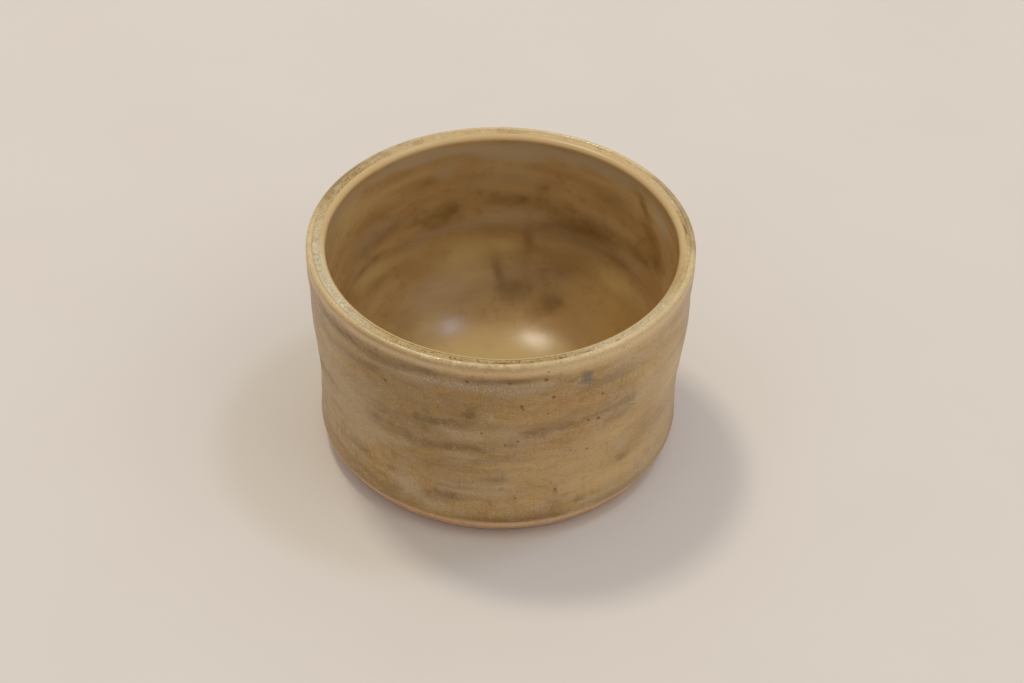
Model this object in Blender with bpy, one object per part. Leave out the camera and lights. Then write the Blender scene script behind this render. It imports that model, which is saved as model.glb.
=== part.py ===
"""Thrown stoneware espresso cup: a clay body with a coat of glaze inside, outside and on the rim.

Metres, +Z up. The wheel's axis is Z and the table is at Z = 0. Every piece is a section turned round it.
"""
import math

import bpy

# Outside of the finished cup, over the glaze
CUP_HEIGHT = 0.0407
LIP_RADIUS = 0.0332
LIP_HEIGHT = 0.0392
BELLY_RADIUS = 0.03275
BELLY_HEIGHT = 0.0310
WAIST_RADIUS = 0.0315
WAIST_HEIGHT = 0.0125
HEEL_RADIUS = 0.03165
GLAZE_LINE_HEIGHT = 0.0036
OUTER_RING_DEPTH = 0.00014
OUTER_RING_COUNT = 4

# Inside of the finished cup: the wall and floor are measured right through, glaze included
RIM_WIDTH = 0.0031
BOWL_WALL = 0.0039
BOWL_HEIGHT = 0.0220
BOWL_TURN = 0.0240
FLOOR_THICKNESS = 0.0036
FLOOR_DISH = 0.0004
INNER_RING_DEPTH = 0.00025
INNER_RING_COUNT = 3

# Bare clay at the foot
FOOT_INSET = 0.00325
FOOT_WIDTH = 0.0046
HEEL_FULLNESS = 1.6
HOLLOW_DEPTH = 0.0016
HOLLOW_SIDE = 0.0013
HOLLOW_DOME = 0.0003

# Glaze coats, their seat on the clay and the seams between them
GLAZE_THICKNESS = 0.00045
GLAZE_GAP = 0.0003
SEAM_GAP = 0.0003
CLAY_LIP_ROUND = 0.00015
RIM_DIP = 0.0002

# Facets
TURN_STEPS = 52
INNER_WALL_STEPS = 12
OUTER_WALL_STEPS = 16
BOWL_STEPS = 8
LIP_STEPS = 3
HEEL_STEPS = 5
HOLLOW_STEPS = 4
DIP_STEPS = 4

COAT = GLAZE_GAP + GLAZE_THICKNESS
CLAY_TOP = CUP_HEIGHT - COAT
CLAY_LIP_BASE = CLAY_TOP - CLAY_LIP_ROUND
INNER_CREST = LIP_RADIUS - RIM_WIDTH + COAT + CLAY_LIP_ROUND
OUTER_CREST = LIP_RADIUS - COAT - CLAY_LIP_ROUND
FOOT_RADIUS = HEEL_RADIUS - FOOT_INSET


def throwing_ring(depth, count, share):
    """Depth of the finger's rings at a share of the way up a wall. They fade to nothing at both ends."""
    return depth * (1 - math.cos(2 * math.pi * count * share)) / 2


def eased(start, end, share):
    """A soft S-shaped run from start to end that leaves and arrives level."""
    return start + (end - start) * (1 - math.cos(math.pi * share)) / 2


def arc(centre, across, up, first_angle, last_angle, steps):
    """Points on an ellipse with half-widths across and up, between two angles in degrees."""
    points = []
    for step in range(steps + 1):
        angle = math.radians(first_angle + (last_angle - first_angle) * step / steps)
        points.append((centre[0] + across * math.cos(angle), centre[1] + up * math.sin(angle)))
    return points


def outside_radius(height):
    """Radius over the glaze: straight heel, narrow waist, full belly and a slightly flared lip."""
    stations = [
        (GLAZE_LINE_HEIGHT, HEEL_RADIUS),
        (WAIST_HEIGHT, WAIST_RADIUS),
        (BELLY_HEIGHT, BELLY_RADIUS),
        (LIP_HEIGHT, LIP_RADIUS),
    ]
    for (low, low_radius), (high, high_radius) in zip(stations, stations[1:]):
        if height <= high:
            return eased(low_radius, high_radius, (height - low) / (high - low))
    return LIP_RADIUS


def inside_path():
    """Clay surface from the middle of the floor, up the bowl and the wall to the crest of the inner lip."""
    floor = HOLLOW_DEPTH + FLOOR_THICKNESS - COAT
    bowl_radius = outside_radius(BOWL_HEIGHT) - BOWL_WALL + COAT
    points = [(0.0, floor - FLOOR_DISH)]
    points += arc((bowl_radius - BOWL_TURN, BOWL_HEIGHT), BOWL_TURN, BOWL_HEIGHT - floor, -90, 0, BOWL_STEPS)
    for step in range(1, INNER_WALL_STEPS):
        share = step / INNER_WALL_STEPS
        height = BOWL_HEIGHT + (CLAY_LIP_BASE - BOWL_HEIGHT) * share
        wall = eased(BOWL_WALL, RIM_WIDTH, share)
        ring = throwing_ring(INNER_RING_DEPTH, INNER_RING_COUNT, share)
        points.append((outside_radius(height) - wall + COAT + ring, height))
    points += arc((INNER_CREST, CLAY_LIP_BASE), CLAY_LIP_ROUND, CLAY_LIP_ROUND, 180, 90, LIP_STEPS)
    return points


def outside_path():
    """Clay surface from the crest of the outer lip, down the wall to the glaze line."""
    points = arc((OUTER_CREST, CLAY_LIP_BASE), CLAY_LIP_ROUND, CLAY_LIP_ROUND, 90, 0, LIP_STEPS)
    for step in range(1, OUTER_WALL_STEPS + 1):
        share = step / OUTER_WALL_STEPS
        height = CLAY_LIP_BASE + (GLAZE_LINE_HEIGHT - CLAY_LIP_BASE) * share
        ring = throwing_ring(OUTER_RING_DEPTH, OUTER_RING_COUNT, share)
        points.append((outside_radius(height) - COAT - ring, height))
    return points


def foot_path():
    """Bare clay from under the glaze line, round the heel, over the foot ring to the middle of the hollow."""
    heel_width = HEEL_RADIUS - COAT - FOOT_RADIUS
    points = []
    for step in range(1, HEEL_STEPS + 1):
        angle = math.pi / 2 * step / HEEL_STEPS
        across = max(math.cos(angle), 0.0) ** (2 / HEEL_FULLNESS)
        down = math.sin(angle) ** (2 / HEEL_FULLNESS)
        points.append((FOOT_RADIUS + heel_width * across, GLAZE_LINE_HEIGHT * (1 - down)))
    for step in range(HOLLOW_STEPS + 1):
        share = step / HOLLOW_STEPS
        points.append((FOOT_RADIUS - FOOT_WIDTH - HOLLOW_SIDE * share, eased(0.0, HOLLOW_DEPTH, share)))
    points.append((0.0, HOLLOW_DEPTH + HOLLOW_DOME))
    return points


def raised(path, distance, first_normal, last_normal):
    """The path moved off the clay by a distance, each stretch staying parallel to its own clay."""
    sides = []
    for (r0, z0), (r1, z1) in zip(path, path[1:]):
        length = math.hypot(r1 - r0, z1 - z0)
        sides.append(((z0 - z1) / length, (r1 - r0) / length))
    points = []
    for index, (radius, height) in enumerate(path):
        if index == 0:
            across, up = first_normal
        elif index == len(path) - 1:
            across, up = last_normal
        else:
            (a0, u0), (a1, u1) = sides[index - 1], sides[index]
            spread = 1 + a0 * a1 + u0 * u1
            across, up = (a0 + a1) / spread, (u0 + u1) / spread
        points.append((radius + across * distance, height + up * distance))
    return points


def material(name, colour, roughness):
    """Plain fired surface of one colour."""
    surface = bpy.data.materials.new(name)
    surface.use_nodes = True
    shader = surface.node_tree.nodes["Principled BSDF"]
    shader.inputs["Base Color"].default_value = (*colour, 1.0)
    shader.inputs["Roughness"].default_value = roughness
    shader.inputs["Metallic"].default_value = 0.0
    return surface


def turned(name, section, is_ring, surface):
    """One piece, its section turned a full turn round the wheel's axis. A ring's section closes on itself."""
    edges = [(index, index + 1) for index in range(len(section) - 1)]
    if is_ring:
        edges.append((len(section) - 1, 0))
    mesh = bpy.data.meshes.new(name)
    mesh.from_pydata([(radius, 0.0, height) for radius, height in section], edges, [])
    mesh.materials.append(surface)
    piece = bpy.data.objects.new(name, mesh)
    bpy.context.scene.collection.objects.link(piece)
    turn = piece.modifiers.new("turn", "SCREW")
    turn.axis = "Z"
    turn.angle = 2 * math.pi
    turn.steps = TURN_STEPS
    turn.render_steps = TURN_STEPS
    turn.use_merge_vertices = True
    turn.merge_threshold = 0.00001
    turn.use_smooth_shade = True
    return piece


for old_object in list(bpy.data.objects):
    bpy.data.objects.remove(old_object)

UPWARD = (0.0, 1.0)
OUTWARD = (1.0, 0.0)

# Clay body: one turned section from the floor, over the rim and down to the hollow under the foot
clay = material("stoneware", (0.46, 0.28, 0.17), 0.85)
turned("clay_body", inside_path() + outside_path() + foot_path(), False, clay)

# Liner coat over the floor, bowl and inner wall, ending on the crest of the inner lip
liner = material("inner_glaze", (0.25, 0.14, 0.053), 0.28)
liner_face = raised(inside_path(), COAT, UPWARD, UPWARD)
liner_back = raised(inside_path(), GLAZE_GAP, UPWARD, UPWARD)
turned("inner_glaze", liner_face + liner_back[::-1], False, liner)

# Outer coat from the crest of the outer lip to a rolled edge at the glaze line
outer = material("outer_glaze", (0.30, 0.19, 0.088), 0.42)
outer_face = raised(outside_path(), COAT, UPWARD, OUTWARD)
outer_back = raised(outside_path(), GLAZE_GAP, UPWARD, OUTWARD)
edge_radius, edge_height = outer_face.pop()
roll_middle = GLAZE_THICKNESS * (1 - math.sqrt(0.5))
outer_face.append((edge_radius, edge_height + GLAZE_THICKNESS))
outer_face.append((edge_radius - roll_middle, edge_height + roll_middle))
turned("outer_glaze", outer_face + outer_back[::-1], True, outer)

# Rim band between the two lips, dipping to a shallow channel along its middle
band = material("rim_glaze", (0.48, 0.38, 0.24), 0.5)
band_start = INNER_CREST + SEAM_GAP
band_end = OUTER_CREST - SEAM_GAP
band_section = []
for step in range(DIP_STEPS + 1):
    share = step / DIP_STEPS
    dip = RIM_DIP * math.sin(math.pi * share)
    band_section.append((band_start + (band_end - band_start) * share, CUP_HEIGHT - dip))
band_section.append((band_end, CLAY_TOP + GLAZE_GAP))
band_section.append((band_start, CLAY_TOP + GLAZE_GAP))
turned("rim_glaze", band_section, True, band)
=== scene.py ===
import math

import bpy
import numpy as np
from mathutils import Matrix, Vector, noise


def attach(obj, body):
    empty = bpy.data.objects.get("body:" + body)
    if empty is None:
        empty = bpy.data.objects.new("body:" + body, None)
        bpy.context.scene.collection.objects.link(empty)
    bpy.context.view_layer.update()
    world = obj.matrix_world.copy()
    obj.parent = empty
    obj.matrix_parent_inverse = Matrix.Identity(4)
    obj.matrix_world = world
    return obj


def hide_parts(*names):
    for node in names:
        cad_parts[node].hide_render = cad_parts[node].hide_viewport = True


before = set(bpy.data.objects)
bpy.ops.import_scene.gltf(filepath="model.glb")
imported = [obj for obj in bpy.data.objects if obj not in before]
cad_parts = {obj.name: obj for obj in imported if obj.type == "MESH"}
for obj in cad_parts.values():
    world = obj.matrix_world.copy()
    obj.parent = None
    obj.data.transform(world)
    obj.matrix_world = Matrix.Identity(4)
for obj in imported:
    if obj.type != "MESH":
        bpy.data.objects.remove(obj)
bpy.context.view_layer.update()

# Clay body: pinkish tan stoneware, thrown in one piece and trimmed upside down on the wheel. All of it lies
# under glaze but the heel, the foot ring and the hollow, where the tool's rings and the grog stay bare.
# Lengths here and below are in millimetres, and angles run from the front of the cup, positive to the right.
cup_height = 40.7
lip_radius = 33.2
lip_height = 39.2
belly_radius = 32.75
belly_height = 31.0
waist_radius = 31.5
waist_height = 12.5
heel_radius = 31.65
glaze_line = 3.6
rim_width = 3.1
bowl_wall = 3.9
bowl_height = 22.0
bowl_turn = 24.0
floor_height = 5.2
floor_dish = 0.4
glaze_thickness = 0.45
foot_radius = 28.4
foot_width = 4.6
heel_fullness = 1.6
hollow_depth = 1.6
hollow_side = 1.3
hollow_dome = 0.3
lip_round = 0.7
inner_round = 1.0
land_drop = 0.3
axis_ring = 0.4
inner_crest = lip_radius - rim_width + inner_round
outer_crest = lip_radius - lip_round
lip_base = cup_height - lip_round


def eased(start, end, share):
    """A soft run from start to end that leaves and arrives level."""
    return start + (end - start) * (1 - np.cos(np.pi * np.clip(share, 0, 1))) / 2


def outside_radius(height):
    """Radius over the outer glaze: straight heel, narrow waist, full belly and a slightly flared lip."""
    heel = eased(heel_radius, waist_radius, (height - glaze_line) / (waist_height - glaze_line))
    belly = eased(waist_radius, belly_radius, (height - waist_height) / (belly_height - waist_height))
    lip = eased(belly_radius, lip_radius, (height - belly_height) / (lip_height - belly_height))
    return np.where(height < waist_height, heel, np.where(height < belly_height, belly, lip))


def inside_radius(height):
    """Radius over the liner glaze, above the bowl."""
    share = (height - bowl_height) / (lip_base - bowl_height)
    return outside_radius(height) - eased(bowl_wall, rim_width, share)


def turn_path(path, columns):
    """A path's points, as radius and height, carried round the wheel's axis: one row for each of them."""
    angle = np.linspace(0, 2 * np.pi, columns, endpoint=False)
    radius, height = path[:, :1], path[:, 1:]
    across = radius * np.sin(angle)
    away = -radius * np.cos(angle)
    return np.stack([across, away, np.broadcast_to(height, across.shape)], -1)


def mottle(points, width, tall, seed, octaves=3):
    """Soft noise at each point, about width millimetres across and tall millimetres high, from -1 to 1."""
    shift = Vector((17.3 * seed, -9.1 * seed, 4.7 * seed))
    scale = np.array([1 / width, 1 / width, 1 / tall])
    flat = (points * scale).reshape(-1, 3)
    values = [noise.fractal(Vector(point) + shift, 1.0, 2.0, octaves) for point in flat]
    return np.array(values).reshape(points.shape[:-1])


def pushed(points, path, amount):
    """Turned points moved off the surface by an amount, along the path's own normals."""
    step = np.gradient(path, axis=0)
    step /= np.maximum(np.linalg.norm(step, axis=1, keepdims=True), 1e-9)
    across, up = -step[:, 1:], step[:, :1]
    reach = np.hypot(points[..., 0], points[..., 1])
    safe = np.maximum(reach, 1e-9)
    moved = points.copy()
    moved[..., 0] += points[..., 0] / safe * across * amount
    moved[..., 1] += points[..., 1] / safe * across * amount
    moved[..., 2] += up * amount
    return moved


def turned_piece(name, points, is_ring, marks=None):
    """A closed turned mesh. A ring's rows close on themselves, and others start and end on the axis."""
    rows, columns = points.shape[:2]
    corners = points.reshape(-1, 3)
    index = np.arange(rows * columns).reshape(rows, columns)
    lower = np.roll(index, -1, 0) if is_ring else index[1:]
    upper = index if is_ring else index[:-1]
    quads = np.stack([upper, lower, np.roll(lower, -1, 1), np.roll(upper, -1, 1)], -1).reshape(-1, 4)
    faces = quads.tolist()
    if not is_ring:
        first, last = len(corners), len(corners) + 1
        corners = np.concatenate([corners, [points[0].mean(0)], [points[-1].mean(0)]])
        for column in range(columns):
            following = (column + 1) % columns
            faces.append((first, index[0, column], index[0, following]))
            faces.append((last, index[-1, following], index[-1, column]))
    mesh = bpy.data.meshes.new(name)
    mesh.from_pydata((corners * 0.001).tolist(), [], faces)
    mesh.shade_smooth()
    for mark, values in (marks or {}).items():
        spread = np.zeros(len(corners), np.float32)
        spread[: rows * columns] = values.reshape(-1)
        if not is_ring:
            spread[-2:] = values[0].mean(), values[-1].mean()
        mesh.attributes.new(mark, "FLOAT", "POINT").data.foreach_set("value", spread)
    piece = bpy.data.objects.new(name, mesh)
    bpy.context.scene.collection.objects.link(piece)
    return piece


def tint(red, green, blue):
    """A screen colour, 0 to 255 each, as the shader's linear colour."""
    screen = np.array([red, green, blue]) / 255
    linear = np.where(screen <= 0.04045, screen / 12.92, ((screen + 0.055) / 1.055) ** 2.4)
    return (*linear.tolist(), 1.0)


def put(tree, kind, wires, **settings):
    """One shader node, its sockets wired or set."""
    made = tree.nodes.new("ShaderNode" + kind)
    for setting, value in settings.items():
        setattr(made, setting, value)
    for socket, source in wires.items():
        if isinstance(source, bpy.types.NodeSocket):
            tree.links.new(source, made.inputs[socket])
        else:
            made.inputs[socket].default_value = source
    return made


def finish_named(name):
    """A new material and its node tree, shader, and position on the cup in millimetres."""
    finish = bpy.data.materials.new(name)
    finish.use_nodes = True
    tree = finish.node_tree
    place = put(tree, "TexCoord", {}).outputs["Object"]
    spot = put(tree, "VectorMath", {0: place, 1: (1000, 1000, 1000)}, operation="MULTIPLY").outputs[0]
    return finish, tree, tree.nodes["Principled BSDF"], spot


def grain(tree, spot, width, tall, detail=3.0, roughness=0.5, warp=0.0, shift=0.0):
    """Noise about width millimetres across and tall millimetres high, 0 to 1."""
    moved = (shift, shift * 0.7, shift * 1.3)
    scale = (1 / width, 1 / width, 1 / tall)
    scaled = put(tree, "Mapping", {"Vector": spot, "Location": moved, "Scale": scale}).outputs[0]
    wires = {"Vector": scaled, "Scale": 1.0, "Detail": detail, "Roughness": roughness, "Distortion": warp}
    return put(tree, "TexNoise", wires).outputs[0]


def ramp(tree, value, low, high, start=0.0, end=1.0):
    """A value carried smoothly from start to end as it goes from low to high."""
    wires = {"Value": value, "From Min": low, "From Max": high, "To Min": start, "To Max": end}
    return put(tree, "MapRange", wires, interpolation_type="SMOOTHSTEP").outputs[0]


def reckon(tree, how, first, second):
    """Two values added, multiplied and so on."""
    return put(tree, "Math", {0: first, 1: second}, operation=how).outputs[0]


def times(tree, first, second):
    """One value thinned by another."""
    return reckon(tree, "MULTIPLY", first, second)


def over(tree, share, under, top):
    """One colour laid over another by a share."""
    return put(tree, "Mix", {0: share, 6: under, 7: top}, data_type="RGBA").outputs[2]


def relief(tree, value, depth, strength, under=None):
    """Bumps of a depth in millimetres, on top of those under them."""
    wires = {"Height": value, "Distance": depth * 0.001, "Strength": strength}
    if under is not None:
        wires["Normal"] = under
    return put(tree, "Bump", wires).outputs[0]


wall_heights = np.linspace(lip_base, glaze_line, 70)
clay_outside = np.stack([outside_radius(wall_heights) - glaze_thickness, wall_heights], 1)
heel_angle = np.linspace(0, np.pi / 2, 30)[1:]
heel_reach = np.maximum(np.cos(heel_angle), 0) ** (2 / heel_fullness)
heel_drop = np.sin(heel_angle) ** (2 / heel_fullness)
heel_width = heel_radius - glaze_thickness - foot_radius
clay_heel = np.stack([foot_radius + heel_width * heel_reach, glaze_line * (1 - heel_drop)], 1)
ring_face = np.stack([np.linspace(foot_radius, foot_radius - foot_width, 14)[1:], np.zeros(13)], 1)
side_share = np.linspace(0, 1, 12)[1:]
hollow_edge = foot_radius - foot_width
clay_side = np.stack([hollow_edge - hollow_side * side_share, eased(0, hollow_depth, side_share)], 1)
hollow_reach = np.linspace(hollow_edge - hollow_side, axis_ring, 60)[1:]
hollow_share = 1 - hollow_reach / (hollow_edge - hollow_side)
clay_hollow = np.stack([hollow_reach, hollow_depth + hollow_dome * hollow_share], 1)
inside_heights = np.linspace(bowl_height, lip_base, 40)
clay_inside = np.stack([inside_radius(inside_heights) + glaze_thickness, inside_heights], 1)
bowl_angle = np.radians(np.linspace(-90, 0, 24))[:-1]
bowl_radius = float(inside_radius(np.array(bowl_height)))
clay_bowl = np.stack([
    bowl_radius - bowl_turn + (bowl_turn + glaze_thickness) * np.cos(bowl_angle),
    bowl_height + (bowl_height - floor_height + glaze_thickness) * np.sin(bowl_angle)], 1)
floor_start = np.array([[axis_ring, floor_height - glaze_thickness - floor_dish]])
land_height = cup_height - glaze_thickness - land_drop
clay_land = np.array([[inner_crest - 0.4, land_height], [outer_crest + 0.1, land_height]])
clay_path = np.concatenate([
    floor_start, clay_bowl, clay_inside[:-2], clay_land,
    clay_outside[2:], clay_heel, ring_face, clay_side, clay_hollow])
clay_columns = 320
clay_points = turn_path(clay_path, clay_columns)
clay_round = np.hypot(clay_points[..., 0], clay_points[..., 1])
clay_turn = np.arctan2(clay_points[..., 0], -clay_points[..., 1])
under_share = np.clip((hollow_edge - clay_round) / 2, 0, 1) * (clay_points[..., 2] < 3)
tool_rings = 0.05 * np.sin(2 * np.pi * clay_round / 1.5 + clay_turn) * under_share
heel_share = np.clip((clay_round - foot_radius) / 0.8, 0, 1) * (clay_points[..., 2] < glaze_line)
heel_rings = 0.02 * np.sin(2 * np.pi * clay_points[..., 2] / 0.6) * heel_share
coarseness = 0.03 * np.maximum(under_share, heel_share) * mottle(clay_points, 2, 2, 1)
clay_points = pushed(clay_points, clay_path, tool_rings + heel_rings + coarseness)
clay_body = turned_piece("clay_body_fired", clay_points, False)

clay_finish, tree, shader, spot = finish_named("bare_stoneware")
clay_pink = tint(204, 160, 124)
clay_tan = tint(194, 150, 112)
clay_dark = tint(124, 92, 68)
clay_pale = tint(226, 200, 170)
clouds = ramp(tree, grain(tree, spot, 6, 6), 0.35, 0.65)
grog = ramp(tree, grain(tree, spot, 0.35, 0.35, detail=1.0), 0.66, 0.72)
iron = ramp(tree, grain(tree, spot, 0.5, 0.5, detail=1.0, shift=31), 0.70, 0.76)
colour = over(tree, clouds, clay_tan, clay_pink)
colour = over(tree, times(tree, grog, 0.6), colour, clay_pale)
colour = over(tree, times(tree, iron, 0.8), colour, clay_dark)
tree.links.new(colour, shader.inputs["Base Color"])
tree.links.new(ramp(tree, clouds, 0, 1, 0.78, 0.9), shader.inputs["Roughness"])
rough = relief(tree, grain(tree, spot, 0.4, 0.4, detail=4.0), 0.12, 0.6)
tree.links.new(rough, shader.inputs["Normal"])
clay_body.data.materials.append(clay_finish)
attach(clay_body, "root")
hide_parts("clay_body")

# Outer glaze: a dipped ash glaze, fired satin. It runs thin and pale over the lip, gathers grey crystals and
# iron-brown streaks along the throwing rings, and ends in a dark roll at a wiped line above the foot.
around = 640
turn_angles = np.linspace(0, 2 * np.pi, around, endpoint=False)
wheel_circle = np.stack([np.sin(turn_angles), -np.cos(turn_angles), np.zeros(around)], 1)
round_degrees = np.degrees((turn_angles + np.pi) % (2 * np.pi) - np.pi)
channel_dip = 0.28
rim_sag = 0.2
lean_right = 0.26
lean_front = 0.22
inner_drop = 0.15
coat_seat = 0.02
rim_circle = wheel_circle * 31.4


def near(value, middle, reach, power=2):
    """A share that is 1 at the middle and fades past its reach, more squarely with a higher power."""
    return np.exp(-((value - middle) / reach) ** power)


inner_edge = inner_crest + lean_right * wheel_circle[:, 0] - lean_front * wheel_circle[:, 1]
outer_seam = 32.15 + 0.3 * near(round_degrees, 0, 55) + 0.12 * mottle(rim_circle, 2.2, 2.2, 21)
outer_seam = np.minimum(outer_seam, outer_crest - 0.03)
inner_seam = inner_edge + 0.11 + 0.08 * mottle(rim_circle, 2.6, 2.6, 22)


def channel_height(radius):
    """Top of the rim between the two lips, a shallow channel that falls a little towards the inside."""
    share = np.clip((radius - inner_edge) / (outer_crest - inner_edge), 0, 1)
    return cup_height - inner_drop * (1 - share) - channel_dip * np.sin(np.pi * share) ** 2


def land_points(start, end, steps):
    """Points on top of the rim from one radius to another, each given for every angle."""
    share = np.linspace(0, 1, steps)[:, None]
    radius = start + (end - start) * share
    return np.stack([radius * wheel_circle[:, 0], radius * wheel_circle[:, 1], channel_height(radius)], -1)


def sagged(points):
    """The rim sags a little at the front, as thrown rims do."""
    degrees = np.degrees(np.arctan2(points[..., 0], -points[..., 1]))
    low = points.copy()
    low[..., 2] -= rim_sag * near(degrees, 0, 60) * eased(0, 1, (points[..., 2] - 34) / 5)
    return low


lip_angle = np.radians(np.linspace(90, 0, 12))
outer_lip = np.stack([
    outer_crest + lip_round * np.cos(lip_angle),
    lip_base + lip_round * np.sin(lip_angle)], 1)
outer_heights = np.linspace(lip_base, glaze_line + glaze_thickness, 116)[1:]
outer_wall = np.stack([outside_radius(outer_heights), outer_heights], 1)
roll_angle = np.radians(np.linspace(0, -90, 6))[1:]
outer_roll = np.stack([
    heel_radius - glaze_thickness + glaze_thickness * np.cos(roll_angle),
    glaze_line + glaze_thickness + glaze_thickness * np.sin(roll_angle)], 1)
outer_face = np.concatenate([outer_lip, outer_wall, outer_roll])
back_heights = np.linspace(glaze_line, lip_base, 14)
outer_back = np.stack([outside_radius(back_heights) - glaze_thickness - coat_seat, back_heights], 1)
outer_path = np.concatenate([outer_face, outer_back])
outer_points = turn_path(outer_path, around)
outer_up = outer_points[..., 2]
outer_turn = np.degrees(np.arctan2(outer_points[..., 0], -outer_points[..., 1]))
on_face = np.zeros(outer_up.shape)
on_face[: len(outer_face)] = 1
below_lip = np.clip((lip_base - outer_up) / 3, 0, 1) * on_face
above_line = np.clip((outer_up - glaze_line - 0.3) / 2, 0, 1)
wheel_rings = 0.02 * np.sin(2 * np.pi * outer_up / 2.7 + np.radians(outer_turn))
finger_rings = 0.05 * mottle(outer_points, 60, 3.2, 2)
hand_dents = 0.04 * mottle(outer_points, 14, 7, 3)
thrown_marks = (wheel_rings + finger_rings + hand_dents) * below_lip * above_line
roll_swell = 0.10 * near(outer_up, glaze_line + 1.0, 0.7)
right_fullness = 0.3 * near(outer_turn, 90, 45) * near(outer_up, 24, 10)
outer_swell = thrown_marks + (roll_swell + right_fullness) * on_face
line_drop = 0.22 * mottle(outer_points * [1, 1, 0], 9, 9, 4) - 0.58 * near(outer_turn, 2, 36)
line_wave = line_drop * near(outer_up, glaze_line, 1.2)
outer_points = pushed(outer_points, outer_path, outer_swell)
outer_points[..., 2] += line_wave
seam_points = land_points(outer_seam, np.full(around, outer_crest), 5)[:-1]
seam_back = seam_points[:1].copy()
seam_back[..., 2] = land_height + coat_seat
outer_points = np.concatenate([seam_points, outer_points, seam_back])
outer_up = outer_points[..., 2]
outer_turn = np.degrees(np.arctan2(outer_points[..., 0], -outer_points[..., 1]))

dark_streaks = [
    # angle, height, half-length in degrees, half-height, rise per degree, strength
    (-47, 36.7, 8, 0.8, -0.03, 0.95), (-37, 36.2, 5, 0.8, -0.02, 0.85), (-29, 36.9, 5, 0.8, 0.04, 0.65),
    (-21, 38.0, 2.6, 0.5, 0.00, 0.9), (-22, 37.0, 6, 0.7, 0.05, 0.7), (-42, 32.9, 6, 0.8, 0.06, 0.75),
    (-39, 33.0, 0.9, 0.5, 0.25, 0.9), (-26, 33.0, 4, 0.5, 0.00, 0.4), (-14.5, 32.1, 2.6, 1.0, -0.10, 0.5),
    (-8.5, 29.1, 2.4, 1.0, 0.00, 1.0), (-7.6, 30.3, 1.6, 0.8, 0.00, 0.8),
    (-24.2, 26.4, 1.6, 1.0, 0.00, 1.0), (-17.5, 26.9, 4.6, 0.65, 0.12, 1.0),
    (-10.5, 26.6, 2.8, 0.6, 0.00, 0.6), (-20, 27.4, 8, 1.2, 0.00, 0.45),
    (-20.8, 28.6, 1.1, 0.5, 0.00, 0.6), (-35, 24.1, 2.2, 0.6, 0.05, 0.55),
    (-30.4, 24.2, 1.0, 0.5, 0.00, 0.6), (-21.7, 24.2, 1.2, 0.7, -0.10, 0.6),
    (-39.2, 22.0, 1.4, 0.7, 0.00, 0.7), (-35, 21.3, 6, 0.9, 0.00, 0.5), (-27.5, 20.9, 3, 1.0, -0.05, 0.6),
    (-20, 20.8, 4, 0.9, 0.04, 0.75), (-13.3, 21.5, 3.4, 0.8, 0.02, 0.9),
    (-7, 21.3, 3.5, 0.8, -0.05, 0.75), (-4, 20.2, 1.0, 0.8, 0.00, 0.5),
    (-6.5, 18.0, 2.4, 0.6, -0.06, 0.5), (-17, 16.8, 6, 1.2, 0.00, 0.25), (-1, 14.2, 4.2, 0.6, 0.04, 0.62),
    (-21, 15.0, 2.5, 1.4, 0.00, 0.3), (-42, 11.8, 5, 0.9, -0.03, 0.55),
    (-34.5, 11.3, 2.2, 0.7, 0.04, 0.55), (-18, 9.3, 5.0, 0.8, 0.06, 0.6),
    (-13.2, 9.2, 2.4, 0.7, 0.00, 0.65), (-9, 9.3, 3, 0.5, 0.00, 0.4), (-21.5, 8.5, 2, 0.8, 0.00, 0.4),
    (-43, 6.2, 9, 1.8, 0.00, 0.45), (2, 37.6, 7, 0.52, 0.00, 1.0), (-5, 37.2, 3, 0.45, 0.04, 0.8),
    (5, 37.3, 3, 0.4, 0.00, 0.7), (10.5, 25.3, 3.6, 0.8, 0.03, 0.58), (20, 25.2, 5, 0.6, 0.04, 0.5),
    (25, 26.0, 5, 0.8, 0.03, 0.4), (35, 26.1, 4, 0.8, 0.02, 0.5), (42, 26.3, 3.2, 0.8, 0.08, 0.65),
    (38, 23.6, 6, 0.7, 0.02, 0.6), (22, 28.0, 4, 0.7, 0.00, 0.25), (40, 29.8, 5, 0.9, -0.10, 0.35),
    (3.8, 22.6, 2.0, 0.5, 0.00, 0.55), (2, 14.5, 1.2, 0.7, 0.00, 0.5), (42, 12.3, 4.6, 0.9, 0.03, 0.8),
    (33, 12.2, 5, 0.6, 0.00, 0.3), (18.2, 10.5, 0.8, 0.8, 0.00, 0.55), (5.8, 9.6, 0.8, 0.6, 0.00, 0.55),
    (18, 6.6, 1.8, 1.0, 0.00, 0.55), (26, 6.7, 2.0, 0.6, 0.00, 0.6), (27, 14.1, 2, 0.5, 0.00, 0.35),
    (60, 15.5, 9, 1.6, 0.00, 0.5), (57, 8.2, 7, 1.0, -0.02, 0.35), (-58, 36.5, 8, 1.2, 0.00, 0.6),
    (0, 33.0, 6, 1.0, 0.00, 0.35), (-9, 37.0, 4, 0.6, 0.00, 0.5), (2, 37.0, 8, 0.5, 0.00, 0.4),
    (24.6, 36.3, 0.9, 0.7, 0.0, 0.6), (26.9, 34.4, 1.0, 0.5, 0.00, 0.7), (-5, 11.6, 16, 0.35, 0.01, 0.35),
    (5, 16.5, 18, 0.35, 0.00, 0.3), (-10, 13.0, 14, 0.3, 0.01, 0.3), (20, 9.0, 14, 0.3, 0.00, 0.3),
    (10, 18.8, 16, 0.3, 0.01, 0.3), (-25, 17.8, 12, 0.35, 0.00, 0.3), (-54, 12.0, 9, 1.2, 0.00, 0.4),
    (-50, 32.6, 6, 0.8, 0.00, 0.4), (35, 34.3, 3, 0.8, 0.05, 0.4),
]
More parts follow.
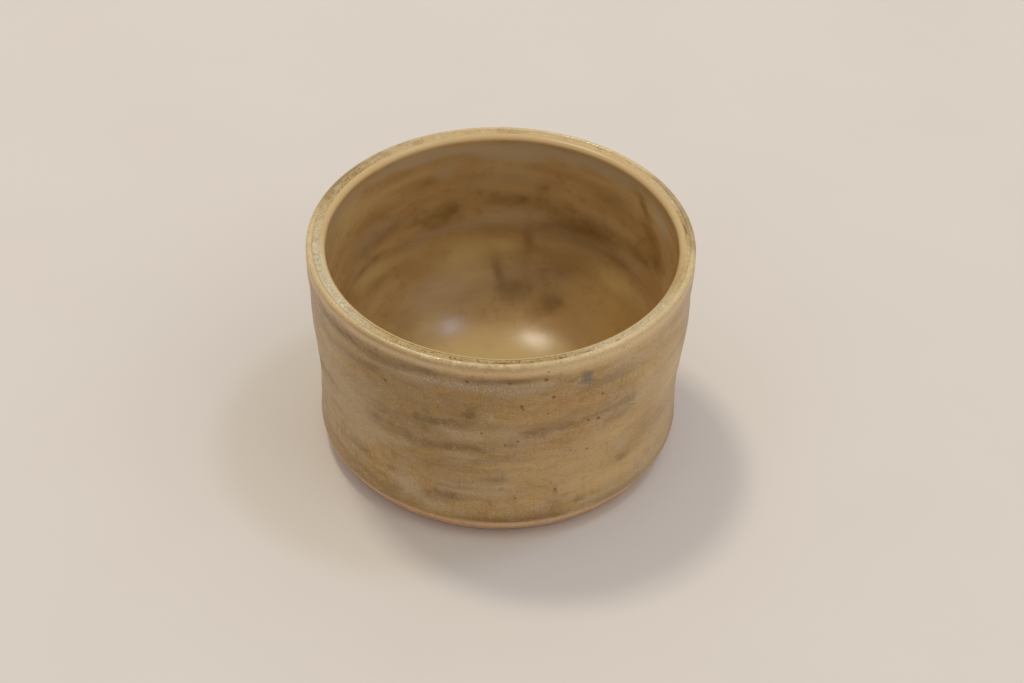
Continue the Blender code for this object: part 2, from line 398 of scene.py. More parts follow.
ash_clouds = [
    (9, 35.7, 8, 1.2, 0.00, 0.85), (-26, 35.6, 6, 1.0, 0.00, 0.7), (-10, 36.2, 8, 0.8, 0.00, 0.6),
    (5, 33.3, 5, 0.9, 0.00, 0.45), (34, 35.6, 4, 1.2, 0.00, 0.5), (41, 35.8, 4, 1.4, -0.20, 0.7),
    (-6, 24.3, 8, 1.1, 0.00, 0.85), (-14, 25.3, 4, 0.6, 0.00, 0.5), (3, 25.6, 3, 1.2, 0.00, 0.5),
    (-10, 18.9, 5, 0.8, 0.00, 0.75), (-29, 19.2, 3, 1.0, 0.00, 0.6), (-45, 16.4, 8, 2.2, 0.00, 0.7),
    (-49, 23.0, 6, 1.6, 0.00, 0.6), (-28, 8.5, 4.2, 1.5, 0.00, 1.0), (-27, 10.3, 3, 1.2, 0.00, 0.6),
    (-20, 5.9, 4.5, 1.1, 0.00, 0.75), (-2, 11.4, 7, 1.3, 0.00, 0.7), (42, 15.3, 4, 1.2, 0.00, 0.85),
    (22, 13.2, 2, 0.8, 0.00, 0.6), (26, 20.5, 3, 0.8, 0.00, 0.5), (41, 24.7, 4, 0.5, 0.04, 0.5),
    (32, 24.2, 2, 0.6, 0.00, 0.4), (54, 26.0, 9, 2.0, 0.00, 0.6), (38, 5.5, 14, 1.4, 0.00, 0.7),
    (60, 7.0, 12, 2.2, 0.00, 0.9), (-62, 26.0, 12, 9.0, 0.00, 0.6), (-60, 14.0, 12, 6.0, 0.00, 0.5),
    (-38, 28.5, 7, 1.6, 0.00, 0.4), (-1.9, 29.0, 0.9, 0.4, 0.00, 0.9), (-38, 19.0, 6, 1.0, 0.00, 0.4),
    (7, 17.5, 3, 1.5, 0.00, 0.3), (-18, 12.6, 8, 1.2, 0.00, 0.45), (40, 33.2, 6, 1.2, 0.00, 0.4),
]
# Pale sand clouds. The broad ones on the right side lighten that side as light from the right does (painted
# light). Those along the collar on the right are a painted sheen. The rest are paler glaze.
sand_and_painted_light_clouds = [
    (32, 18.0, 16, 4.5, 0.00, 0.75), (42, 9.4, 14, 2.0, 0.00, 1.0), (30, 12.0, 14, 2.6, 0.00, 0.7),
    (12, 17.0, 8, 3.0, 0.00, 0.45), (30, 39.0, 18, 1.2, 0.00, 0.6), (50, 28.0, 8, 5.0, 0.00, 0.7),
    (5, 8.0, 8, 1.4, 0.00, 0.4), (-33, 18.6, 5, 0.9, 0.00, 0.45), (64, 20.0, 10, 11.0, 0.00, 0.8),
    (40, 20.5, 8, 2.0, 0.00, 0.4), (46, 37.0, 8, 2.0, 0.00, 0.5), (42, 38.7, 24, 1.1, 0.00, 0.9),
    (18, 39.2, 8, 0.6, 0.00, 0.8), (0, 12.6, 8, 1.3, 0.00, 0.4), (60, 8.6, 10, 2.0, 0.00, 0.45),
    (10, 28.4, 14, 1.4, 0.00, 0.35), (0, 16.5, 22, 3.4, 0.00, 0.25),
]
lip_olives = [
    (-120, 40.2, 15, 1.6, 0.00, 1.0), (-150, 40.2, 12, 1.0, 0.00, 0.5), (100, 40.0, 9, 1.0, 0.00, 0.9),
    (118, 40.2, 7, 0.8, 0.00, 0.6), (-63, 40.65, 10, 0.2, 0.00, 0.3), (88, 40.1, 4, 0.5, 0.00, 0.7),
]
gold_clouds = [
    (-8, 34.3, 7, 1.1, 0.00, 0.9), (-15, 33.8, 4, 1.6, 0.00, 0.55), (-17, 29.9, 4, 1.0, 0.00, 0.6),
    (20, 30.8, 11, 1.5, 0.00, 0.8), (12, 37.7, 6, 0.5, 0.00, 0.9), (-3, 37.9, 5, 0.5, 0.00, 0.8),
    (2, 37.4, 9, 0.6, 0.00, 0.9), (-20, 13.8, 7, 1.8, 0.00, 0.5), (-20, 18.3, 5, 1.0, 0.00, 0.55),
    (8, 29.0, 8, 1.4, 0.00, 0.45), (-12, 23.2, 4, 0.8, 0.00, 0.5), (-7, 7.2, 6, 1.0, 0.00, 0.5),
    (-30, 27.0, 7, 1.6, 0.00, 0.5), (8, 19.0, 5, 1.4, 0.00, 0.4), (14, 15.0, 6, 2.0, 0.00, 0.35),
    (-25, 23.2, 8, 0.7, 0.00, 0.4), (30, 29.0, 8, 1.2, 0.00, 0.5), (-44, 8.0, 8, 1.6, 0.00, 0.4),
]
slate_spots = [
    (25.6, 35.8, 2.4, 1.2, -0.08, 0.9), (26.6, 34.6, 1.2, 0.6, -0.20, 0.8),
    (25.6, 35.7, 1.6, 0.8, 0.0, 0.9), (-8.0, 29.6, 1.6, 0.9, 0.0, 0.35),
    (33.5, 36.0, 2.2, 0.7, 0.0, 0.35), (-14.5, 32.0, 2.2, 0.8, 0.0, 0.5),
    (-24.2, 26.0, 1.2, 0.6, 0.0, 0.35), (-29, 36.6, 3, 0.6, 0.0, 0.35), (2, 36.8, 4, 0.4, 0.0, 0.2),
]
iron_specks = [
    # angle, height, size
    (13.5, 37.3, 1.4), (3.2, 37.1, 1.15), (-36.9, 38.2, 0.9), (-34.5, 31.9, 1.25), (16.0, 32.9, 1.25),
    (31.6, 30.7, 1.0), (6.8, 31.5, 1.1), (7.2, 30.8, 0.8), (1.3, 33.4, 0.6), (27.5, 25.6, 1.1),
    (30.9, 25.2, 1.25), (26.3, 32.5, 0.5), (6.0, 23.4, 1.0), (2.4, 22.6, 0.9), (-4.6, 25.4, 0.8),
    (-7.0, 26.0, 0.7), (28.2, 18.4, 0.9), (18.4, 10.5, 0.9), (5.8, 9.6, 0.7), (-8.7, 37.0, 1.1),
    (14.2, 39.0, 0.7), (14.1, 20.8, 0.6), (22.6, 19.3, 0.6), (-17.3, 30.0, 0.6), (13.2, 28.0, 0.6),
    (14.7, 29.3, 0.6), (21.5, 11.4, 0.6), (37.6, 39.5, 0.6), (-6.9, 27.7, 0.6), (20.6, 23.2, 0.5),
]
hand = np.random.default_rng(11)
for _ in range(80):
    mark = (hand.uniform(70, 290), hand.uniform(6, 38), hand.uniform(4, 14), hand.uniform(0.7, 1.6),
            hand.uniform(-0.02, 0.03), hand.uniform(0.4, 0.9))
    (dark_streaks if hand.random() < 0.6 else ash_clouds).append(mark)
for _ in range(9):
    sand_and_painted_light_clouds.append((hand.uniform(80, 280), hand.uniform(6, 38), 16, hand.uniform(2, 5), 0.0, 0.6))
    gold_clouds.append((hand.uniform(70, 290), hand.uniform(6, 38), 9, hand.uniform(1, 2), 0.0, 0.6))
    slate_spots.append((hand.uniform(80, 280), hand.uniform(8, 37), 1.8, 1.0, 0.0, hand.uniform(0.3, 0.8)))
for _ in range(60):
    iron_specks.append((hand.uniform(60, 300), hand.uniform(5, 39), hand.uniform(0.5, 0.9)))


def laid(turn, up, marks, ragged):
    """Share of a surface covered by long soft marks whose edges wander by a ragged noise."""
    bare = np.ones(turn.shape)
    for angle, height, half_length, half_height, rise, strength in marks:
        along = (turn - angle + 180) % 360 - 180
        reach = along / (half_length * 1.15) + ragged * 0.45
        lift = (up - height - rise * along) / (half_height * 1.5) + ragged * 0.45
        bare *= 1 - strength * np.exp(-reach ** 2 - lift ** 2)
    return 1 - bare


wander = 0.7 * mottle(outer_points, 8, 4, 5, 2) + 0.5 * mottle(outer_points, 2.4, 1.6, 15, 2)
degree_length = np.radians(1) * 32.4
speck_reach = 0.31
speck_share = np.zeros(outer_up.shape)
for angle, height, size in iron_specks:
    along = ((outer_turn - angle + 180) % 360 - 180) * degree_length
    away = (along ** 2 + (outer_up - height) ** 2) / (speck_reach * size) ** 2
    speck_share = np.maximum(speck_share, np.exp(-away))
roll_height = glaze_line + 1.2 + 0.3 * mottle(outer_points, 7, 40, 14)
front_roll = 0.3 + 0.7 * near(outer_turn, 5, 15, 4)
# Painted shade: the left front of the wall is darkened, more towards the top, as light falls from the right.
painted_left_shade = near(outer_turn, -20, 28) * np.clip((outer_up - 3) / 24, 0.4, 1)
crest_line = 39.65 + 0.2 * near(outer_turn, -15, 30) + 0.4 * near(outer_turn, -48, 26, 4)
crest_breaks = np.clip(0.5 + 1.3 * mottle(outer_points, 1.1, 0.5, 23), 0, 1)
front_break = near(outer_turn, 2, 26, 4) * crest_breaks
outer_marks = {
    "dark": laid(outer_turn, outer_up, dark_streaks, wander),
    "ash": laid(outer_turn, outer_up, ash_clouds, wander),
    "sand": laid(outer_turn, outer_up, sand_and_painted_light_clouds, wander * 0.6),
    "gold": laid(outer_turn, outer_up, gold_clouds, wander),
    "slate": laid(outer_turn, outer_up, slate_spots, wander * 0.8),
    "shade": painted_left_shade,
    "bloom": near(outer_up, 35.7 + 0.7 * wander, 1.3) * near(outer_turn, -5, 25, 4),
    "speck": speck_share,
    "crest": np.clip((outer_up - crest_line + 0.2 * wander) / 0.7, 0, 1) * (1 - 0.6 * front_break),
    "olive": laid(outer_turn, outer_up, lip_olives, wander),
    "collar": near(outer_up, 39.3 - 0.3 * wander, 0.85),
    # Painted sheen: a pale band on the lip at the right front, where a lamp's sheen falls.
    "pale": near(outer_up, 39.5, 0.8) * near(outer_turn, 36, 26, 4),
    "roll": front_roll * near(outer_up, roll_height, 0.8),
    "edge": np.clip((4.25 - outer_up) / 0.4, 0, 1),
}
outer_glaze = turned_piece("outer_glaze_coat", sagged(outer_points), True, outer_marks)

outer_finish, tree, shader, spot = finish_named("outer_ash_glaze")
ochre = tint(167, 130, 68)
tan_mauve = tint(169, 138, 102)
sand = tint(198, 164, 112)
ash_grey = tint(182, 157, 121)
honey = tint(160, 119, 54)
painted_shade_brown = tint(136, 104, 54)
soft_umber = tint(128, 95, 44)
bark = tint(114, 83, 36)
slate = tint(106, 95, 78)
iron_red = tint(112, 56, 12)
bloom_grey = tint(148, 126, 98)
crystal_white = tint(200, 183, 152)
crest_gold = tint(205, 179, 132)
collar_pink = tint(208, 176, 132)
painted_lip_sheen = tint(215, 190, 146)
lip_olive = tint(136, 108, 56)
roll_brown = tint(132, 96, 46)
edge_orange = tint(216, 178, 136)
bands = grain(tree, spot, 16, 2.8, detail=5.0, roughness=0.55, warp=0.7)
clouds = grain(tree, spot, 7, 4.2, detail=5.0, roughness=0.60, warp=0.9, shift=7)
mist = grain(tree, spot, 1.7, 1.3, detail=5.0, roughness=0.65, warp=0.8, shift=19)
runs = grain(tree, spot, 0.9, 9, detail=3.0, warp=0.3, shift=11)
grit = grain(tree, spot, 0.36, 0.32, detail=2.0, roughness=0.6, shift=29)
needles = grain(tree, spot, 0.30, 0.45, detail=3.0, roughness=0.65, warp=0.4, shift=43)
unruly = reckon(tree, "ADD", times(tree, clouds, 0.9), times(tree, mist, 1.1))
unruly = reckon(tree, "SUBTRACT", unruly, 1.02)


def mark_on(tree, name):
    """A value that the mesh carries at its corners."""
    return put(tree, "Attribute", {}, attribute_name=name).outputs["Fac"]


def frayed(tree, name, unruly, low, high, most):
    """Share of a listed mark, its edge frayed by the unruly clouds and mist in the glaze."""
    return ramp(tree, reckon(tree, "ADD", mark_on(tree, name), unruly), low, high, 0.0, most)


colour = over(tree, ramp(tree, clouds, 0.36, 0.64), ochre, tan_mauve)
colour = over(tree, ramp(tree, bands, 0.48, 0.34, 0.0, 0.5), colour, sand)
colour = over(tree, ramp(tree, bands, 0.52, 0.68, 0.0, 0.55), colour, soft_umber)
colour = over(tree, ramp(tree, mist, 0.47, 0.30, 0.0, 0.58), colour, ash_grey)
colour = over(tree, ramp(tree, mist, 0.53, 0.70, 0.0, 0.68), colour, soft_umber)
colour = over(tree, ramp(tree, runs, 0.52, 0.66, 0.0, 0.22), colour, soft_umber)
# Painted shade laid over the left front of the wall.
colour = over(tree, ramp(tree, mark_on(tree, "shade"), 0.0, 1.0, 0.0, 0.6), colour, painted_shade_brown)
# Sand clouds: paler glaze, with painted light on the right side and a painted sheen on the collar there.
colour = over(tree, frayed(tree, "sand", unruly, 0.0, 1.1, 0.9), colour, sand)
colour = over(tree, frayed(tree, "gold", unruly, 0.0, 1.1, 0.75), colour, honey)
ash_share = frayed(tree, "ash", unruly, 0.0, 1.1, 0.8)
colour = over(tree, ash_share, colour, ash_grey)
colour = over(tree, frayed(tree, "dark", unruly, 0.0, 1.2, 0.9), colour, bark)
colour = over(tree, frayed(tree, "slate", unruly, 0.05, 1.1, 0.8), colour, slate)
colour = over(tree, times(tree, mark_on(tree, "bloom"), 0.5), colour, bloom_grey)
colour = over(tree, times(tree, mark_on(tree, "roll"), 0.9), colour, roll_brown)
colour = over(tree, times(tree, mark_on(tree, "edge"), 0.8), colour, edge_orange)
colour = over(tree, times(tree, mark_on(tree, "collar"), 0.85), colour, collar_pink)
# Painted sheen on the right of the lip.
colour = over(tree, times(tree, mark_on(tree, "pale"), 0.5), colour, painted_lip_sheen)
crest_share = times(tree, mark_on(tree, "crest"), ramp(tree, mist, 0.38, 0.6, 0.6, 0.95))
colour = over(tree, crest_share, colour, crest_gold)
colour = over(tree, frayed(tree, "olive", unruly, 0.05, 0.9, 0.9), colour, lip_olive)
crystals = ramp(tree, needles, 0.50, 0.64)
crystal_share = times(tree, crystals, ramp(tree, mark_on(tree, "bloom"), 0.1, 0.9, 0.0, 0.55))
colour = over(tree, crystal_share, colour, crystal_white)
colour = over(tree, ramp(tree, grit, 0.54, 0.74, 0.0, 0.32), colour, crystal_white)
colour = over(tree, ramp(tree, grit, 0.45, 0.25, 0.0, 0.50), colour, bark)
dust = ramp(tree, grain(tree, spot, 0.6, 0.6, detail=0.0, shift=57), 0.84, 0.88, 0.0, 0.5)
colour = over(tree, dust, colour, iron_red)
colour = over(tree, ramp(tree, mark_on(tree, "speck"), 0.15, 0.8, 0.0, 0.9), colour, iron_red)
tree.links.new(colour, shader.inputs["Base Color"])
satin = ramp(tree, ash_share, 0.0, 0.8, 0.36, 0.50)
glints = ramp(tree, needles, 0.48, 0.58, 0.50, 0.14)
tree.links.new(ramp(tree, mark_on(tree, "crest"), 0.0, 1.0, satin, glints), shader.inputs["Roughness"])
lines = relief(tree, grain(tree, spot, 30, 0.5, detail=2.0, shift=5), 0.05, 0.3)
peel = relief(tree, mist, 0.10, 0.35, lines)
pits = relief(tree, grit, 0.03, 0.35, peel)
tree.links.new(pits, shader.inputs["Normal"])
shader.inputs["IOR"].default_value = 1.5
outer_glaze.data.materials.append(outer_finish)
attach(outer_glaze, "root")
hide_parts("outer_glaze")

# Inner glaze: the liner, poured in and tipped out, so it is browner, thicker and glossier than the outside.
# It covers the floor, the bowl and the ringed wall, and breaks to pale tan over the inner lip.
inner_lip_base = cup_height - inner_drop - inner_round
floor_reach = np.linspace(axis_ring, bowl_radius - bowl_turn, 16)
floor_share = floor_reach / (bowl_radius - bowl_turn)
inner_floor = np.stack([floor_reach, eased(floor_height - floor_dish, floor_height, floor_share)], 1)
turn_angle = np.radians(np.linspace(-90, 0, 46))[1:]
inner_bowl = np.stack([
    bowl_radius - bowl_turn + bowl_turn * np.cos(turn_angle),
    bowl_height + (bowl_height - floor_height) * np.sin(turn_angle)], 1)
inner_heights = np.linspace(bowl_height, inner_lip_base, 48)[1:]
inner_wall = np.stack([inside_radius(inner_heights), inner_heights], 1)
crest_angle = np.radians(np.linspace(180, 90, 24))[1:]
inner_lip = np.stack([
    inner_crest + inner_round * np.cos(crest_angle),
    inner_lip_base + inner_round * np.sin(crest_angle)], 1)
inner_face = np.concatenate([inner_floor, inner_bowl, inner_wall, inner_lip])
inner_points = turn_path(inner_face, around)
inner_turn = np.degrees(np.arctan2(inner_points[..., 0], inner_points[..., 1]))
inner_up = inner_points[..., 2]
under_lip = np.clip((inner_lip_base - inner_up) / 3, 0, 1)
on_wall = np.clip((inner_up - 17) / 6, 0, 1)
finger_spiral = 0.05 * np.sin(2 * np.pi * inner_up / 6.9 + np.radians(inner_turn)) * on_wall
wall_waves = 0.06 * mottle(inner_points, 40, 4, 6) * on_wall
pour_waves = 0.03 * mottle(inner_points, 9, 9, 7)
inner_swell = finger_spiral + wall_waves + pour_waves
inner_points = pushed(inner_points, inner_face, inner_swell * under_lip)
lean_share = eased(0, 1, (inner_up - 25) / (inner_lip_base - 25))
inner_points[..., 0] += lean_right * lean_share
inner_points[..., 1] -= lean_front * lean_share
liner_seam = land_points(inner_edge, inner_seam, 5)[1:]
liner_edge = liner_seam[-1:].copy()
liner_edge[..., 2] = land_height + coat_seat
liner_back = np.concatenate([
    clay_inside[:-2][::-4] - [coat_seat, 0],
    clay_bowl[::-3] + [-coat_seat / 2, coat_seat],
    floor_start + [0, coat_seat]])
inner_points = np.concatenate([inner_points, liner_seam, liner_edge, turn_path(liner_back, around)])
inner_turn = np.degrees(np.arctan2(inner_points[..., 0], inner_points[..., 1]))
inner_up = inner_points[..., 2]
inner_front = np.degrees(np.arctan2(inner_points[..., 0], -inner_points[..., 1]))

inner_streaks = [
    # angle from the back, height, half-length in degrees, half-height, rise per degree, strength
    (-23, 25.0, 9, 1.6, 0.04, 0.6), (-16, 28.4, 7, 1.2, 0.00, 0.45), (0, 27.0, 9, 1.0, 0.00, 0.5),
    (-28, 32.6, 5, 1.1, 0.00, 0.5), (37, 25.2, 16, 1.9, 0.04, 0.5), (28, 23.2, 13, 1.1, 0.05, 0.4),
    (14, 29.4, 3, 1.5, 0.20, 0.5), (10.5, 19.5, 2.2, 2.8, 0.00, 0.5), (-1, 13.7, 3.0, 1.5, -0.33, 0.75),
    (5, 11.0, 6, 1.0, 0.00, 0.75), (27, 10.7, 7, 0.9, 0.00, 0.8), (24, 14.6, 5, 1.3, 0.00, 0.4),
    (50, 21.6, 7, 0.9, 0.02, 0.4), (57, 35.8, 5, 0.9, -0.30, 0.75), (64, 32.0, 7, 1.8, -0.15, 0.55),
    (71, 28.0, 10, 1.8, 0.00, 0.55), (-58, 22.2, 12, 0.6, 0.00, 0.4), (-50, 17.3, 10, 0.9, 0.00, 0.4),
    (40, 33.0, 14, 1.5, 0.00, 0.35), (14, 13.0, 12, 2.0, 0.00, 0.3), (33, 19.0, 14, 2.6, 0.00, 0.4),
    (-45, 30.0, 14, 0.9, -0.03, 0.35), (-52, 25.4, 14, 1.4, 0.00, 0.4), (20, 26.6, 7, 1.0, 0.00, 0.3),
    (60, 26.2, 8, 1.1, 0.00, 0.35), (20, 9.4, 7, 0.9, 0.00, 0.35), (0, 26.0, 70, 1.3, 0.00, 0.18),
    (-46, 34.0, 9, 1.1, 0.00, 0.2),
]
inner_ash = [
    (4, 36.9, 12, 1.4, 0.00, 1.0), (-30, 38.3, 18, 0.6, 0.00, 0.7), (35, 37.8, 14, 0.7, 0.00, 0.6),
    (68, 36.2, 8, 1.6, -0.10, 0.8), (1, 23.8, 10, 0.8, 0.05, 0.9), (16, 24.0, 8, 0.6, 0.00, 0.4),
    (-52, 27.0, 14, 1.8, 0.00, 0.6), (-36, 20.6, 7, 1.3, 0.00, 0.6), (12, 32.4, 12, 0.9, 0.00, 0.4),
    (52, 27.6, 12, 0.8, 0.00, 0.3), (58, 24.0, 12, 1.0, 0.00, 0.4), (15, 19.6, 4, 1.3, 0.00, 0.5),
    (-75, 37.0, 12, 1.4, 0.00, 0.5), (0, 21.8, 60, 0.9, 0.00, 0.7), (-8, 30.6, 6, 0.8, 0.00, 0.35),
    (0, 38.3, 70, 0.8, 0.00, 0.8), (-20, 34.0, 8, 1.2, 0.00, 0.45), (0, 32.0, 8, 2.2, 0.00, 0.4),
]
# Gold clouds in the liner. The one at 180 degrees, low on the floor at the front, is a painted glow round
# the lamps' highlights.
inner_gold = [
    (-9, 13.9, 20, 2.0, 0.00, 0.5), (-14, 16.8, 10, 1.5, 0.00, 0.5), (-45, 19.2, 16, 1.1, 0.00, 0.42),
    (-60, 20.2, 10, 0.9, 0.00, 0.4), (1, 17.6, 6, 1.1, 0.00, 0.6), (-66, 35.6, 10, 2.2, 0.00, 0.5),
    (50, 17.3, 10, 1.1, 0.00, 0.4), (-40, 34.6, 16, 0.9, 0.00, 0.5), (-5, 20.3, 40, 1.7, 0.00, 0.25),
    (36, 19.2, 16, 1.6, 0.00, 0.5), (-42, 9.4, 18, 1.3, 0.00, 0.45), (180, 5.2, 50, 2.0, 0.00, 1.0),
]
for _ in range(30):
    mark = (hand.uniform(100, 260), hand.uniform(9, 38), hand.uniform(8, 18), hand.uniform(1.0, 2.4), 0.0,
            hand.uniform(0.3, 0.6))
    (inner_streaks if hand.random() < 0.5 else inner_ash).append(mark)
inner_wander = 0.8 * mottle(inner_points, 10, 7, 8, 2) + 0.25 * mottle(inner_points, 3, 2.4, 16, 2)
overlap_top = 0.978
overlap_start = overlap_top - 0.55 * (np.abs(inner_front) / 90) ** 4
overlap_fade = 0.014 + 0.3 * (overlap_top - overlap_start)
overlap_share = (inner_up - inner_lip_base - overlap_start) / overlap_fade
# Middle angle, reach and squareness of the rim's two grey stretches
grey_left = (-70, 25, 4)
grey_right = (44, 22, 4)
inner_marks = {
    "dark": laid(inner_turn, inner_up, inner_streaks, inner_wander),
    "ash": laid(inner_turn, inner_up, inner_ash, inner_wander),
    "gold": laid(inner_turn, inner_up, inner_gold, inner_wander * 0.6),
    "crest": np.clip((inner_up - 39.55 + 0.15 * inner_wander) / 0.7, 0, 1),
    # Glaze pooled on the floor, its gold also painted lighter for the glow round the lamps' highlights.
    "pool": np.clip((8.5 - inner_up) / 3, 0, 1),
    # Painted shade: a darker honey band low in the bowl, stronger towards the right.
    "deep": near(inner_up, 11.5, 4.0) * np.clip(0.75 + inner_turn / 80, 0.45, 1.25),
    "overlap": np.clip(overlap_share, 0, 1) * near(inner_front, -6, 84, 8),
    "grey": np.clip(near(inner_front, *grey_left) + 0.7 * near(inner_front, *grey_right), 0, 1),
}
inner_glaze = turned_piece("inner_glaze_coat", sagged(inner_points), False, inner_marks)

inner_finish, tree, shader, spot = finish_named("liner_glaze")
amber = tint(177, 143, 94)
chestnut = tint(164, 128, 79)
dusk = tint(172, 149, 115)
umber = tint(102, 69, 14)
misty_umber = tint(132, 96, 46)
painted_shade_honey = tint(150, 113, 52)
pooled_gold_and_glow = tint(204, 176, 116)
lip_tan = tint(196, 166, 118)
olive = tint(154, 126, 70)
bronze = tint(100, 62, 14)
lichen = tint(194, 178, 146)


def brown_flecks(tree, spot):
    """Small brown flecks where the coats overlap on the rim."""
    return ramp(tree, grain(tree, spot, 0.44, 0.44, detail=2.0, shift=61), 0.52, 0.66)


bands = grain(tree, spot, 20, 5, detail=4.0, roughness=0.55, warp=0.3, shift=13)
clouds = grain(tree, spot, 12, 7, detail=3.0, warp=0.2, shift=23)
mist = grain(tree, spot, 2.4, 1.8, detail=4.0, roughness=0.55, warp=0.3, shift=29)
unruly = reckon(tree, "ADD", times(tree, clouds, 0.9), times(tree, mist, 0.45))
unruly = reckon(tree, "SUBTRACT", unruly, 0.695)
colour = over(tree, ramp(tree, bands, 0.38, 0.62), chestnut, amber)
colour = over(tree, ramp(tree, mist, 0.52, 0.70, 0.0, 0.3), colour, misty_umber)
colour = over(tree, frayed(tree, "gold", unruly, 0.0, 1.0, 0.85), colour, pooled_gold_and_glow)
# Painted shade low in the bowl.
colour = over(tree, times(tree, mark_on(tree, "deep"), 0.42), colour, painted_shade_honey)
# Pooled glaze on the floor, painted lighter as a glow round the highlights.
colour = over(tree, ramp(tree, mark_on(tree, "pool"), 0.0, 1.0, 0.0, 0.7), colour, pooled_gold_and_glow)
ash_share = frayed(tree, "ash", unruly, 0.0, 1.0, 0.85)
colour = over(tree, ash_share, colour, dusk)
colour = over(tree, frayed(tree, "dark", unruly, 0.0, 1.15, 0.9), colour, umber)
colour = over(tree, ramp(tree, mark_on(tree, "crest"), 0.0, 1.0, 0.0, 0.85), colour, lip_tan)
rim_colour = over(tree, mark_on(tree, "grey"), olive, lichen)
fleck_share = times(tree, brown_flecks(tree, spot), ramp(tree, mark_on(tree, "grey"), 0.0, 1.0, 0.6, 0.2))
rim_colour = over(tree, fleck_share, rim_colour, bronze)
colour = over(tree, mark_on(tree, "overlap"), colour, rim_colour)
tree.links.new(colour, shader.inputs["Base Color"])
tree.links.new(ramp(tree, ash_share, 0.0, 0.8, 0.24, 0.30), shader.inputs["Roughness"])
peel = relief(tree, grain(tree, spot, 1.6, 1.3, detail=2.0, shift=37), 0.03, 0.3)
tree.links.new(peel, shader.inputs["Normal"])
shader.inputs["IOR"].default_value = 1.31
inner_glaze.data.materials.append(inner_finish)
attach(inner_glaze, "root")
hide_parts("inner_glaze")

# Rim glaze: where the liner and the outer coat overlap, in the shallow channel left by the potter's leather.
# It fires to grey-green crystals with brown flecks, full on the left of the rim and broken on the right.
band_seat = 0.03
across_band = np.linspace(0, 1, 15)
band_points = land_points(inner_seam, outer_seam, len(across_band))
middle = np.sin(np.pi * across_band)[:, None] * np.ones(around)
band_points[..., 2] += 0.05 * mottle(band_points, 1.6, 1.6, 9) * middle
band_back = band_points[[-1, 0]].copy()
band_back[..., 2] = land_height + band_seat
band_points = np.concatenate([band_points, band_back])
middle = np.concatenate([middle, np.zeros((2, around))])
band_turn = np.degrees(np.arctan2(band_points[..., 0], -band_points[..., 1]))
ragged_edge = np.clip(middle * 2.5 + 0.5 * mottle(band_points, 1.2, 1.2, 17), 0, 1)
left_side = near(band_turn, *grey_left)
right_side = near(band_turn, *grey_right) + 0.8 * near(band_turn, 116, 8)
grey_share = left_side + 0.7 * right_side + 0.4 * mottle(band_points, 3, 3, 10)
front_side = near(band_turn, -2, 34, 4)
far_left = near(band_turn, -122, 20)
far_right = near(band_turn, 99, 9)
olive_share = front_side + 0.9 * far_left + 0.8 * far_right + 0.3 * mottle(band_points, 3, 3, 18)
rim_stains = [
    # angle, half-length in degrees, share of the way across the rim, strength
    (1.0, 2.2, 0.5, 0.95), (-4.5, 2.2, 0.5, 0.4), (-12, 2.2, 0.45, 0.5), (9, 2.2, 0.45, 0.45),
    (19, 2.2, 0.5, 0.55), (37, 1.3, 0.6, 0.8), (97, 3, 0.6, 0.9),
]
stain_width = 0.2
band_share = np.concatenate([across_band, [1, 0]])[:, None]
stains = np.zeros(band_turn.shape)
for angle, half_length, across, strength in rim_stains:
    stain = strength * near(band_turn, angle, half_length) * near(band_share, across, stain_width)
    stains = np.maximum(stains, stain)
rim_marks = {
    "grey": np.clip(grey_share, 0, 1) * ragged_edge,
    "olive": np.clip(olive_share, 0, 1) * ragged_edge,
    "stain": stains * np.clip(1.2 + 0.6 * mottle(band_points, 0.9, 0.9, 19), 0, 1),
    "seam": near(band_share, 1, 0.16) * near(band_turn, -56, 32, 4),
}
rim_glaze = turned_piece("rim_glaze_band", sagged(band_points), True, rim_marks)

rim_finish, tree, shader, spot = finish_named("rim_crystal_glaze")
rim_tan = tint(192, 163, 114)
frost = tint(226, 213, 184)
slate_green = tint(152, 145, 122)
seam_olive = tint(160, 130, 74)
flecks = brown_flecks(tree, spot)
frosting = ramp(tree, grain(tree, spot, 0.34, 0.34, detail=1.0, shift=67), 0.54, 0.66)
mottles = ramp(tree, grain(tree, spot, 0.8, 0.8, detail=2.0, shift=73), 0.50, 0.64, 0.0, 0.55)
patches = ramp(tree, grain(tree, spot, 3.2, 3.2, detail=3.0, shift=71), 0.54, 0.70)
colour = over(tree, times(tree, mark_on(tree, "olive"), 0.85), rim_tan, olive)
colour = over(tree, mark_on(tree, "grey"), colour, lichen)
colour = over(tree, ramp(tree, mark_on(tree, "grey"), 0.2, 1.0, 0.06, 0.4), colour, lichen)
colour = over(tree, times(tree, mottles, mark_on(tree, "grey")), colour, slate_green)
frost_share = times(tree, frosting, ramp(tree, mark_on(tree, "grey"), 0.0, 1.0, 0.15, 0.6))
colour = over(tree, frost_share, colour, frost)
fleck_share = times(tree, flecks, ramp(tree, mark_on(tree, "olive"), 0.0, 1.0, 0.25, 0.7))
colour = over(tree, fleck_share, colour, bronze)
colour = over(tree, times(tree, patches, 0.25), colour, bronze)
colour = over(tree, times(tree, mark_on(tree, "seam"), 0.8), colour, seam_olive)
colour = over(tree, ramp(tree, mark_on(tree, "stain"), 0.1, 0.7, 0.0, 0.75), colour, bronze)
tree.links.new(colour, shader.inputs["Base Color"])
tree.links.new(ramp(tree, flecks, 0, 1, 0.42, 0.3), shader.inputs["Roughness"])
tree.links.new(relief(tree, frosting, 0.05, 0.5), shader.inputs["Normal"])
shader.inputs["IOR"].default_value = 1.36
rim_glaze.data.materials.append(rim_finish)
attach(rim_glaze, "root")
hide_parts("rim_glaze")

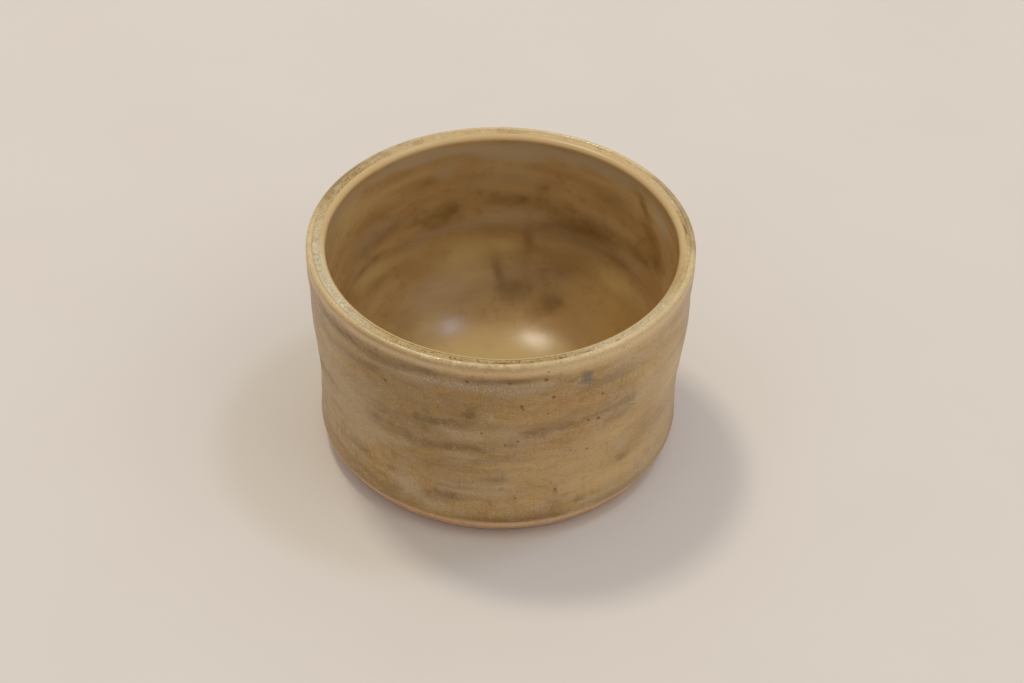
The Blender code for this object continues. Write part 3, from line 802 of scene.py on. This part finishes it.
# Stage: a plain pale table top in the even light of a bright room, seen from a seat at the table. Two soft
# lamps hang above and a little behind the cup, where its glossy bowl catches both, and a third fills in from
# the right. Lengths from here on are in metres.
bpy.ops.mesh.primitive_circle_add(vertices=64, radius=4.0, fill_type="NGON")
table_top = bpy.context.object
table_top.name = "table_top"
table_finish, tree, shader, spot = finish_named("pale_plaster")
table_light = tint(212, 203, 194)
table_deep = tint(208, 198, 188)
table_clouds = grain(tree, spot, 40, 40, detail=2.0)
tree.links.new(over(tree, table_clouds, table_deep, table_light), shader.inputs["Base Color"])
shader.inputs["Roughness"].default_value = 0.9
shader.inputs["Specular IOR Level"].default_value = 0.2
table_top.data.materials.append(table_finish)


def hang_lamp(name, spot, aim, width, tall, power, colour):
    """A flat soft lamp at a spot, turned to face an aim."""
    lamp = bpy.data.lights.new(name, "AREA")
    lamp.shape = "RECTANGLE"
    lamp.size = width
    lamp.size_y = tall
    lamp.energy = power
    lamp.color = colour
    hung = bpy.data.objects.new(name, lamp)
    hung.location = spot
    hung.rotation_euler = (Vector(aim) - Vector(spot)).to_track_quat("-Z", "Y").to_euler()
    bpy.context.scene.collection.objects.link(hung)


cup_middle = (0, 0, 0.02)
hang_lamp("window_lamp", (-0.300, 0.375, 1.24), cup_middle, 0.19, 0.19, 5.1, (1.0, 0.94, 0.77))
hang_lamp("sky_lamp", (0.470, 0.183, 1.242), cup_middle, 0.20, 0.16, 2.3, (0.52, 0.70, 1.0))
hang_lamp("room_lamp", (0.78, -0.35, 0.95), cup_middle, 0.8, 0.8, 1.8, (1.0, 0.97, 0.92))
sky = bpy.data.worlds.new("soft_room")
sky.use_nodes = True
room_light = sky.node_tree.nodes["Background"]
room_light.inputs["Color"].default_value = (1.0, 0.985, 0.96, 1.0)
room_light.inputs["Strength"].default_value = 0.68
bpy.context.scene.world = sky
bpy.context.scene.view_settings.view_transform = "Standard"

pitch = math.radians(40.26)
roll = math.radians(1.08)
distance = 0.405
picture_pixels = 1024
focal_pixels = 2300
forward = Vector((0, math.cos(pitch), -math.sin(pitch)))
rightward = Vector((1, 0, 0))
upward = Vector((0, math.sin(pitch), math.cos(pitch)))
camera = bpy.data.objects.new("seat_camera", bpy.data.cameras.new("seat_camera"))
camera.data.sensor_width = 36
camera.data.lens = camera.data.sensor_width * focal_pixels / picture_pixels
camera.data.shift_x = 0.0125
camera.data.shift_y = -0.01025
side = math.cos(roll) * rightward + math.sin(roll) * upward
top = -math.sin(roll) * rightward + math.cos(roll) * upward
turn = Matrix((side, top, -forward)).transposed().to_4x4()
camera.matrix_world = Matrix.Translation(Vector(cup_middle) - forward * distance) @ turn
bpy.context.scene.collection.objects.link(camera)
bpy.context.scene.camera = camera
